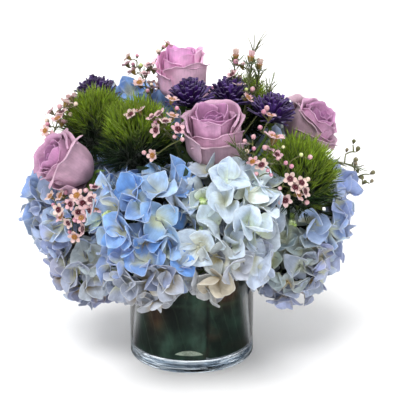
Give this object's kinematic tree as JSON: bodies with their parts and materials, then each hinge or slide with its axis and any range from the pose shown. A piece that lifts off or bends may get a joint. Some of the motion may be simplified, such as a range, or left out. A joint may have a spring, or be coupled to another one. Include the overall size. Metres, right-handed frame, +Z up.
{
  "type": "hydrangeas in a glass vase",
  "caption": "Round bouquet of hydrangeas with roses, green dianthus, asters and waxflower in a short clear glass cylinder lined with dark leaves.",
  "frame": {"origin": "middle of the vase's flat underside", "axes": "+Z up along the vase's axis, +Y away from the viewer who faces the fuller front, +X to that viewer's right"},
  "size_m": [0.3585, 0.2913, 0.3282],
  "materials": {
    "vase_glass": "polished",
    "lining_leaf": "satin",
    "wet_foam": "matte",
    "stem_green": "satin",
    "hydrangea_blue": "matte",
    "hydrangea_white": "matte",
    "rose_mauve": "matte",
    "dianthus_green": "matte",
    "aster_purple": "matte",
    "waxflower_pink": "satin"
  },
  "bodies": {
    "root": {"glass_vase": "vase_glass", "lining_leaf_left": "lining_leaf", "lining_leaf_right": "lining_leaf", "foam_block": "wet_foam", "hydrangea_front_left": "hydrangea_blue", "hydrangea_front_left_stem": "stem_green", "hydrangea_front_right": "hydrangea_white", "hydrangea_front_right_stem": "stem_green", "hydrangea_left": "hydrangea_blue", "hydrangea_left_stem": "stem_green", "hydrangea_right": "hydrangea_blue", "hydrangea_right_stem": "stem_green", "hydrangea_back_left": "hydrangea_blue", "hydrangea_back_left_stem": "stem_green", "hydrangea_back_right": "hydrangea_blue", "hydrangea_back_right_stem": "stem_green", "rose_centre": "rose_mauve", "rose_centre_stem": "stem_green", "rose_left": "rose_mauve", "rose_left_stem": "stem_green", "rose_top": "rose_mauve", "rose_top_stem": "stem_green", "rose_right": "rose_mauve", "rose_right_stem": "stem_green", "rose_back": "rose_mauve", "rose_back_stem": "stem_green", "aster_left": "aster_purple", "aster_left_stem": "stem_green", "aster_middle": "aster_purple", "aster_middle_stem": "stem_green", "aster_centre": "aster_purple", "aster_centre_stem": "stem_green", "aster_right": "aster_purple", "aster_right_stem": "stem_green", "dianthus_left": "dianthus_green", "dianthus_middle": "dianthus_green", "dianthus_right": "dianthus_green", "dianthus_back": "dianthus_green", "waxflower_top_left": "waxflower_pink", "waxflower_top_right": "waxflower_pink", "waxflower_middle": "waxflower_pink", "waxflower_far_left": "waxflower_pink", "waxflower_low_left": "waxflower_pink", "waxflower_right": "waxflower_pink", "waxflower_far_right": "waxflower_pink", "waxflower_back": "waxflower_pink"}
  },
  "joints": []
}
